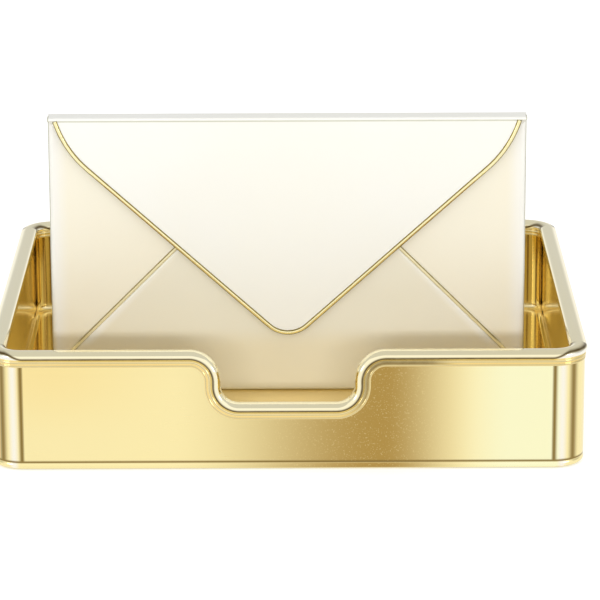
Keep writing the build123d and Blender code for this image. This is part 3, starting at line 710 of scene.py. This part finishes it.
def shell_ring(inset, corner, x_notch):
    """Right half of a rounded rectangle in plan, at an inset from the shell's face.

    It runs along the back, round to the side, round to the front, and over the notch's places.
    """
    half_x, half_y = HALF_WIDTH - SHELL_INSET - inset, HALF_DEPTH - SHELL_INSET - inset
    middle_x, middle_y = half_x - corner, half_y - corner
    turn = np.linspace(0.0, math.pi / 2, SHELL_TURN_STEPS + 1)
    x = np.concatenate([[0.0, middle_x - GUARD], middle_x + corner * np.sin(turn),
                        [half_x, half_x], middle_x + corner * np.cos(turn),
                        [middle_x - GUARD, NOTCH_TOP_X + GUARD], x_notch])
    y = np.concatenate([[half_y, half_y], middle_y + corner * np.cos(turn),
                        [middle_y - GUARD, GUARD - middle_y], -middle_y - corner * np.sin(turn),
                        [-half_y, -half_y], np.full(len(x_notch), -half_y)])
    return x, y


def shell_section(top):
    """Sheet section up to a height, as (inset, height): face, groove, foot roll, flange, inside.

    The foot roll is an arc of a circle, and the flange lies a hair above the screw heads.
    """
    foot_z = SHELL_LIFT + FOOT_ROLL
    flange_top = SHELL_LIFT + SHEET
    turn = np.radians(np.linspace(FOOT_ROLL_START, -90.0, FOOT_ROLL_ROWS))
    return [
        (0.0, top), (0.0, foot_z + GROOVE_TOP), (0.0, foot_z + GROOVE_LIP),
        (GROOVE_DEPTH, foot_z + GROOVE_FLOOR),
        *((FOOT_ROLL * (1.0 - math.cos(a)), foot_z + FOOT_ROLL * math.sin(a)) for a in turn),
        (FOOT_ROLL + FLANGE_RUN_IN, SHELL_LIFT + FLANGE_RAISE),
        (FLANGE_WIDTH, SHELL_LIFT + FLANGE_RAISE), (FLANGE_WIDTH, flange_top),
        (SHEET + INNER_BEND, flange_top), (SHEET, flange_top + INNER_BEND),
        (SHEET, flange_top + INNER_BEND + INNER_BEND_RISE), (SHEET, top),
    ]


def shell_piece():
    """The drawn outer shell, with its notch, a groove above the foot and a rolled foot.

    Each point of the sheet's section runs round its own plan loop, at that point's inset. Its
    height is the section's, and the section's top follows the wall's edge down the notch.
    """
    x_notch, z_notch = notch_edge()
    before_notch = len(shell_ring(0.0, SHELL_CORNER, x_notch)[0]) - len(z_notch)
    tops = np.concatenate([np.full(before_notch, PATH_Z - WALL_EDGE_DROP), z_notch])
    sections = np.array([shell_section(top) for top in tops])
    rows = []
    for inset, heights in zip(sections[0, :, 0], sections[:, :, 1].T):
        corner = max(SHELL_CORNER - inset, FLANGE_CORNER if inset > FOOT_ROLL + SHEET else 0.0)
        rows.append(np.stack([*shell_ring(inset, corner, x_notch), heights], -1))
    points = mirrored(np.stack(rows, 1))
    piece = surface("outer_shell_satin", points, face_gilt(), closed_section=False)
    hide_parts("outer_shell")
    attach(piece, "tray")


# ---------------------------------------------------------------- floor, light, camera
FLOOR_REACH = 6.0
FLOOR_LIFT = 0.45
FLOOR_IN_MIRRORS = 0.90

# The studio's strength in reflections and as plain light, and the bands that add to it
MIRROR_PLAIN, MIRROR_AHEAD, MIRROR_BEHIND = 0.66, 0.36, 0.32
LIGHT_PLAIN, LIGHT_OVERHEAD = 0.53, 0.38
AHEAD, AHEAD_HEIGHT = (0.0, -0.3), (0.80, 0.66)
BEHIND, BEHIND_HEIGHT = (0.2, 0.6), (0.23, 0.08)
OVERHEAD = (0.3, 0.9)

# Camera, in metres and degrees
VIEW_FROM = (0.0056, -1.6197, 0.5092)
VIEW_DOWN, VIEW_ROLL = 15.97, 0.21
SENSOR_MM, LENS_MM = 36.0, 213.7
CLIP_NEAR, CLIP_FAR = 0.05, 50.0


def floor():
    """A wide pale sheet at table level, an even white in the metal's reflections."""
    mesh = bpy.data.meshes.new("floor")
    mesh.from_pydata([(-FLOOR_REACH, -FLOOR_REACH, 0), (FLOOR_REACH, -FLOOR_REACH, 0),
                      (FLOOR_REACH, FLOOR_REACH, 0), (-FLOOR_REACH, FLOOR_REACH, 0)],
                     [], [(0, 1, 2, 3)])
    ground = bpy.data.objects.new("floor", mesh)
    scene.collection.objects.link(ground)
    made, net = material("floor_white")
    camera_ray = net.node("ShaderNodeLightPath", out="Is Camera Ray")
    glossy_ray = net.node("ShaderNodeLightPath", out="Is Glossy Ray")
    plain = net.node("ShaderNodeBsdfDiffuse", None, {"Color": FLOOR_WHITE})
    lift = net.node("ShaderNodeEmission", None,
                    {"Color": PLAIN_WHITE, "Strength": FLOOR_LIFT * camera_ray})
    even = net.node("ShaderNodeEmission", None, {"Color": PLAIN_WHITE, "Strength": 1.0})
    lifted = net.node("ShaderNodeAddShader", None, {0: plain, 1: lift})
    both = net.node("ShaderNodeMixShader", None,
                    {0: FLOOR_IN_MIRRORS * glossy_ray, 1: lifted, 2: even})
    net.node("ShaderNodeOutputMaterial", None, {"Surface": both})
    mesh.materials.append(made)


def sky():
    """White to the camera; for light and reflections a plain soft studio."""
    world = bpy.data.worlds.new("studio")
    world.use_nodes = True
    scene.world = world
    net = Net(world.node_tree)
    _, depth, height = net.axes(net.node("ShaderNodeTexCoord"))
    ahead = depth.step(*AHEAD) * height.step(*AHEAD_HEIGHT)
    behind = depth.step(*BEHIND) * height.step(*BEHIND_HEIGHT)
    in_mirrors = MIRROR_PLAIN + MIRROR_AHEAD * ahead + MIRROR_BEHIND * behind
    camera_ray = net.node("ShaderNodeLightPath", out="Is Camera Ray")
    glossy_ray = net.node("ShaderNodeLightPath", out="Is Glossy Ray")
    as_light = LIGHT_PLAIN + LIGHT_OVERHEAD * height.step(*OVERHEAD)
    other_ray = (1.0 - camera_ray) * (1.0 - glossy_ray)
    strength = camera_ray + glossy_ray * in_mirrors + other_ray * as_light
    light = net.node("ShaderNodeBackground", None, {"Color": PLAIN_WHITE, "Strength": strength})
    net.node("ShaderNodeOutputWorld", None, {"Surface": light})


def softbox(name, at, aim, size, power, in_mirrors=True):
    """A rectangular soft lamp that points at aim; sizes in metres, power in watts."""
    data = bpy.data.lights.new(name, "AREA")
    data.shape, data.size, data.size_y, data.energy = "RECTANGLE", *size, power
    lamp = bpy.data.objects.new(name, data)
    scene.collection.objects.link(lamp)
    lamp.location = at
    lamp.rotation_mode = "QUATERNION"
    lamp.rotation_quaternion = (Vector(aim) - Vector(at)).to_track_quat("-Z", "Y")
    lamp.visible_glossy = in_mirrors


def camera():
    """The photograph's view: a long lens that looks sixteen degrees down, with a hair of roll."""
    data = bpy.data.cameras.new("view")
    data.sensor_width, data.lens = SENSOR_MM, LENS_MM
    data.clip_start, data.clip_end = CLIP_NEAR, CLIP_FAR
    view = bpy.data.objects.new("view", data)
    scene.collection.objects.link(view)
    tilt = Matrix.Rotation(math.pi / 2 - math.radians(VIEW_DOWN), 4, "X")
    roll = Matrix.Rotation(-math.radians(VIEW_ROLL), 4, "Z")
    view.matrix_world = Matrix.Translation(VIEW_FROM) @ tilt @ roll
    scene.camera = view


floor()
sky()
softbox("front_box", (0.0, -2.7, 0.60), (0.0, -0.03, 0.09), (1.0, 0.12), 22.0, in_mirrors=False)
softbox("left_box", (-1.9, -1.4, 0.50), (-0.05, -0.03, 0.08), (0.8, 0.5), 3.5)
softbox("right_box", (1.9, -1.4, 0.50), (0.05, -0.03, 0.08), (0.8, 0.5), 3.5)
rim_pieces()
shell_piece()
camera()
